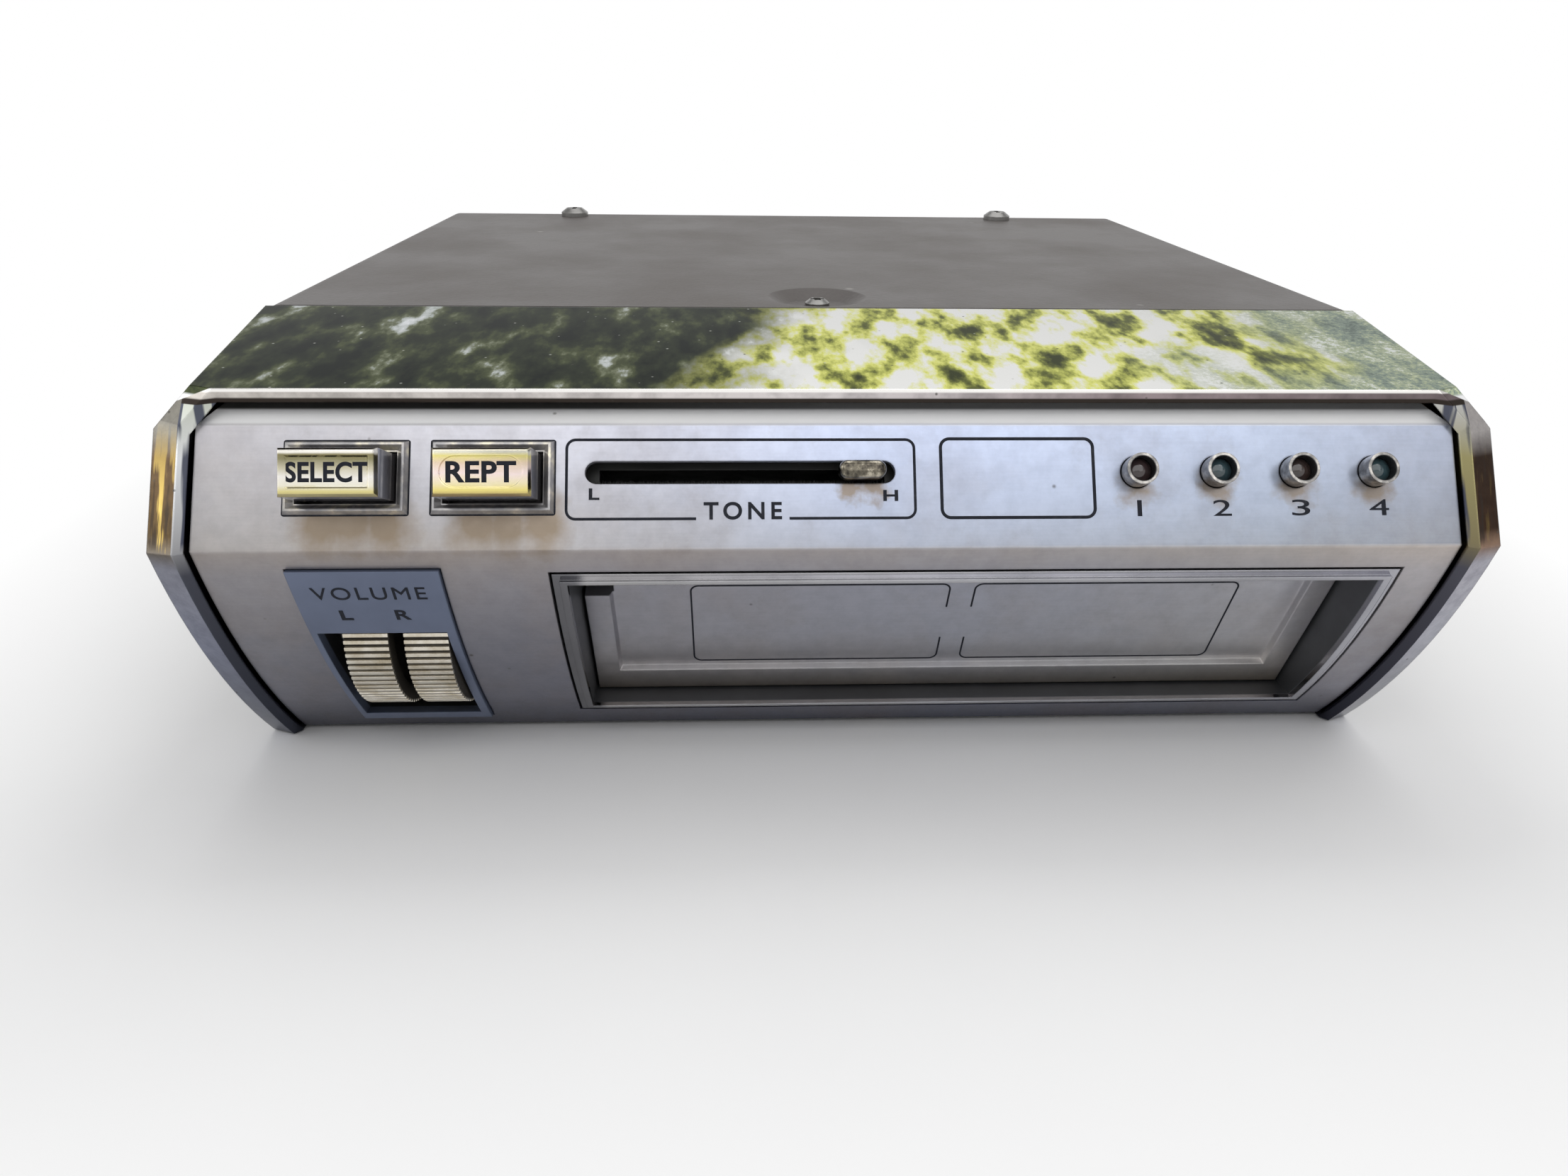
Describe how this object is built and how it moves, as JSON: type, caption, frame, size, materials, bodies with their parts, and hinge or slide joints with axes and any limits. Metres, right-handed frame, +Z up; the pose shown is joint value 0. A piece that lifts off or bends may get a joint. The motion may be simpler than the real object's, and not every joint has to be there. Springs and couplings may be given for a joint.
{
  "type": "8 track player",
  "caption": "In-dash or under-dash 8 track tape player with wedge front, push buttons, tone slider, program lamps, twin volume thumbwheels and an inward swinging cartridge door.",
  "frame": {"origin": "middle of the base's underside", "axes": "+X across to the right seen from the front, +Y to the rear, +Z up"},
  "size_m": [0.18, 0.1752, 0.0657],
  "materials": {
    "chrome": "mirror bright plating",
    "ribbed_chrome": "bright plated fine ribs",
    "satin_silver": "satin silver with fine specks",
    "volume_grey": "satin bluish grey",
    "cover_paint": "satin warm charcoal paint",
    "black_moulding": "satin black moulding",
    "steel": "zinc plated sheet",
    "lens": "dark tinted translucent lens",
    "brass": "machined",
    "dark_steel": "bright zinc steel",
    "board": "phenolic board",
    "ink": "screen printed dark ink",
    "phenolic": "brown phenolic",
    "rubber": "matte rubber",
    "alloy": "cast alloy",
    "grey_moulding": "moulded grey",
    "white_moulding": "acetal",
    "copper": "enamelled copper winding"
  },
  "bodies": {
    "chassis": {"bezel": "chrome", "front_panel": "satin_silver", "panel_carrier": "black_moulding", "top_cover": "cover_paint", "base_tray": "steel", "front_bridge": "steel", "cover_screws": "dark_steel", "bezel_screws": "dark_steel", "side_nuts": "steel", "door_frame": "chrome", "door_hinge_pin": "steel", "volume_plate": "volume_grey", "volume_pots": "steel", "volume_bracket": "steel", "select_surround": "chrome", "repeat_surround": "chrome", "switch_bracket": "steel", "button_switches": "phenolic", "slide_pot": "steel", "lamp_tubes": "chrome", "program_lenses": "lens", "lamp_bulbs": "lens", "lamp_holder": "white_moulding", "cartridge_guide": "steel", "cartridge_spring": "steel", "deck_plate": "steel", "deck_pillars": "brass", "deck_screws": "dark_steel", "thrust_bearing": "brass", "capstan_bush": "brass", "motor": "steel", "drive_belt": "rubber", "guide_rods": "dark_steel", "cam_bracket": "steel", "solenoid_frame": "steel", "solenoid_coil": "copper", "power_switch": "phenolic", "main_board": "board", "board_spacers": "brass", "capacitors": "grey_moulding", "heat_sink": "alloy", "amplifier_chips": "black_moulding", "noise_choke": "copper", "rear_gland": "rubber"},
    "select_button": {"select_button": "chrome"},
    "repeat_button": {"repeat_button": "chrome"},
    "tone_slider": {"tone_knob": "chrome"},
    "volume_left": {"volume_wheel_left": "ribbed_chrome"},
    "volume_right": {"volume_wheel_right": "ribbed_chrome"},
    "door": {"door_flap": "satin_silver", "door_spring": "steel"},
    "drive": {"flywheel": "alloy", "capstan_shaft": "dark_steel"},
    "pulley": {"motor_pulley": "brass"},
    "program": {"program_cam": "white_moulding"},
    "head": {"head_carriage": "alloy", "tape_head": "chrome"},
    "plunger": {"solenoid_plunger": "dark_steel", "plunger_spring": "steel"},
    "lever": {"switch_lever": "steel"}
  },
  "joints": [
    {"name": "select_press", "type": "slide", "parent": "chassis", "child": "select_button", "axis": [0, 0.8949, -0.4462], "range_m": [0, 0.003], "stiffness_N_per_m": 400, "springref_m": -0.002},
    {"name": "repeat_press", "type": "slide", "parent": "chassis", "child": "repeat_button", "axis": [0, 0.8949, -0.4462], "range_m": [0, 0.003], "stiffness_N_per_m": 400, "springref_m": -0.002},
    {"name": "tone_slide", "type": "slide", "parent": "chassis", "child": "tone_slider", "axis": [1, 0, 0], "range_m": [-0.0333, 0.0011]},
    {"name": "volume_left_turn", "type": "hinge", "parent": "chassis", "child": "volume_left", "pos_m": [-0.06685, -0.0658, 0.0223], "axis": [1, 0, 0], "range_deg": [-135, 135]},
    {"name": "volume_right_turn", "type": "hinge", "parent": "chassis", "child": "volume_right", "pos_m": [-0.05835, -0.0658, 0.0223], "axis": [1, 0, 0], "range_deg": [-135, 135]},
    {"name": "door_swing", "type": "hinge", "parent": "chassis", "child": "door", "pos_m": [0.0196, -0.07375, 0.03305], "axis": [1, 0, 0], "range_deg": [0, 68], "stiffness_Nm_per_rad": 0.01, "springref_deg": -34.38},
    {"name": "flywheel_spin", "type": "hinge", "parent": "chassis", "child": "drive", "pos_m": [0.05301, 0.0302, 0.0415], "axis": [0, 0, 1], "continuous": true},
    {"name": "motor_pulley_spin", "type": "hinge", "parent": "chassis", "child": "pulley", "pos_m": [-0.06, 0.0507, 0.0415], "axis": [0, 0, 1], "continuous": true},
    {"name": "program_cam_turn", "type": "hinge", "parent": "chassis", "child": "program", "pos_m": [-0.01, 0.0357, 0.0122], "axis": [0, -1, 0], "range_deg": [0, 270]},
    {"name": "head_lift", "type": "slide", "parent": "chassis", "child": "head", "axis": [0, 0, 1], "range_m": [0, 0.00244]},
    {"name": "plunger_pull", "type": "slide", "parent": "chassis", "child": "plunger", "axis": [0, 0, -1], "range_m": [0, 0.003], "stiffness_N_per_m": 300, "springref_m": -0.003, "deforming": ["plunger_spring"]},
    {"name": "lever_swing", "type": "hinge", "parent": "chassis", "child": "lever", "pos_m": [0.06951, 0.0283, 0.0125], "axis": [0, 0, -1], "range_deg": [0, 12], "stiffness_Nm_per_rad": 0.02, "springref_deg": -17.19}
  ],
  "couplings": [
    {"joint": "motor_pulley_spin", "follows": "flywheel_spin", "ratio": 5.56},
    {"joint": "program_cam_turn", "follows": "head_lift", "rad_per_m": 1931.3}
  ]
}
